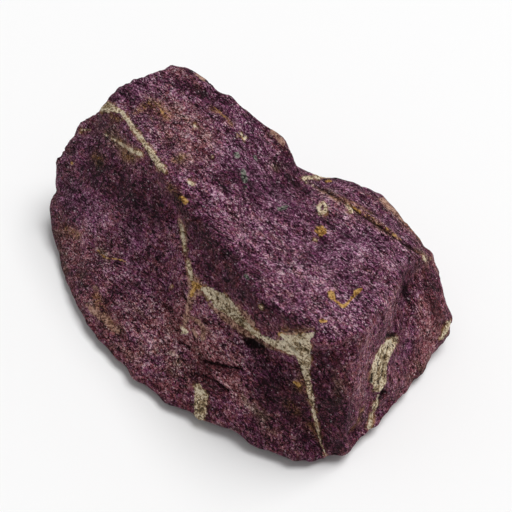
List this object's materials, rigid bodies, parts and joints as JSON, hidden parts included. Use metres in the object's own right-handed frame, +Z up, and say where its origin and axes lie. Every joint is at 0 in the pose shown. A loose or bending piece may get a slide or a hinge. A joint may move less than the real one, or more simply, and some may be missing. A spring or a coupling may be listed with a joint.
{
  "type": "mineral_specimen",
  "caption": "rough lump of purple purpurite rock with cream and ochre veins, a saddle in its back and a flat spot to lie on",
  "frame": {"origin": "middle of the stone's box, on the rest plane under the flat spot", "axes": "+X along the stone to its steep broken end, +Y to its back, +Z up; the long veined face looks to -Y"},
  "size_m": [0.0906, 0.0588, 0.0366],
  "materials": {
    "purpurite": "broken rock, sugary and half matt"
  },
  "bodies": {
    "root": {"purpurite_stone": "purpurite"}
  },
  "joints": []
}
